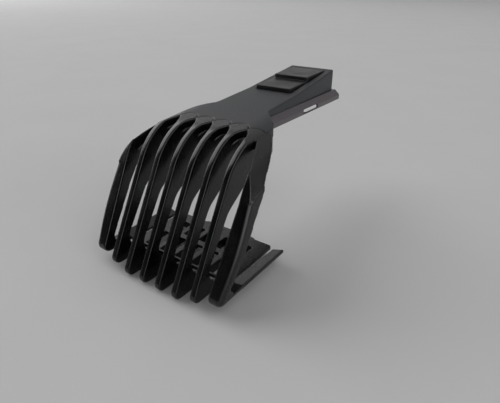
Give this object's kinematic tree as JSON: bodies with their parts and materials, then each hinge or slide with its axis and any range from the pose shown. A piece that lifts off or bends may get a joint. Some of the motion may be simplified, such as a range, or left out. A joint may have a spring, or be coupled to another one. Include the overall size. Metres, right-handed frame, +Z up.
{
  "type": "body groomer guide comb",
  "caption": "Clip-on guide comb of a body groomer: leaning teeth over a skid grid, a hollow arm, slide rails and a rocking thumb button with a latch.",
  "frame": {"origin": "middle of the width and length of the comb, on the plane it stands on", "axes": "+X across the teeth, +Y from the toes of the teeth to the tail of the arm, +Z up"},
  "size_m": [0.0454, 0.0822, 0.0426],
  "materials": {
    "gloss_black_abs": "gloss",
    "satin_grey_abs": "satin",
    "rail_abs": "satin",
    "button_abs": "satin",
    "acetal": "satin",
    "spring_steel": "brushed"
  },
  "bodies": {
    "comb": {"tooth_1": "gloss_black_abs", "tooth_2": "gloss_black_abs", "tooth_3": "gloss_black_abs", "tooth_4": "gloss_black_abs", "tooth_5": "gloss_black_abs", "tooth_6": "gloss_black_abs", "tooth_7": "gloss_black_abs", "tooth_8": "gloss_black_abs", "left_cheek": "gloss_black_abs", "right_cheek": "gloss_black_abs", "left_side_skid": "gloss_black_abs", "right_side_skid": "gloss_black_abs", "skid_grid": "gloss_black_abs", "arm_shell": "satin_grey_abs", "crown_band": "satin_grey_abs", "spring_seat": "satin_grey_abs", "left_rail": "rail_abs", "right_rail": "rail_abs", "pivot_pin": "acetal", "leaf_spring": "spring_steel"},
    "selector": {"selector_button": "button_abs", "latch_pawl": "button_abs"}
  },
  "joints": [
    {"name": "selector_press", "type": "hinge", "parent": "comb", "child": "selector", "pos_m": [0, 0.02533, 0.0376], "axis": [-1, 0, 0], "range_deg": [0, 4], "stiffness_Nm_per_rad": 0.2, "springref_deg": -3.44, "deforming": ["leaf_spring"]}
  ]
}
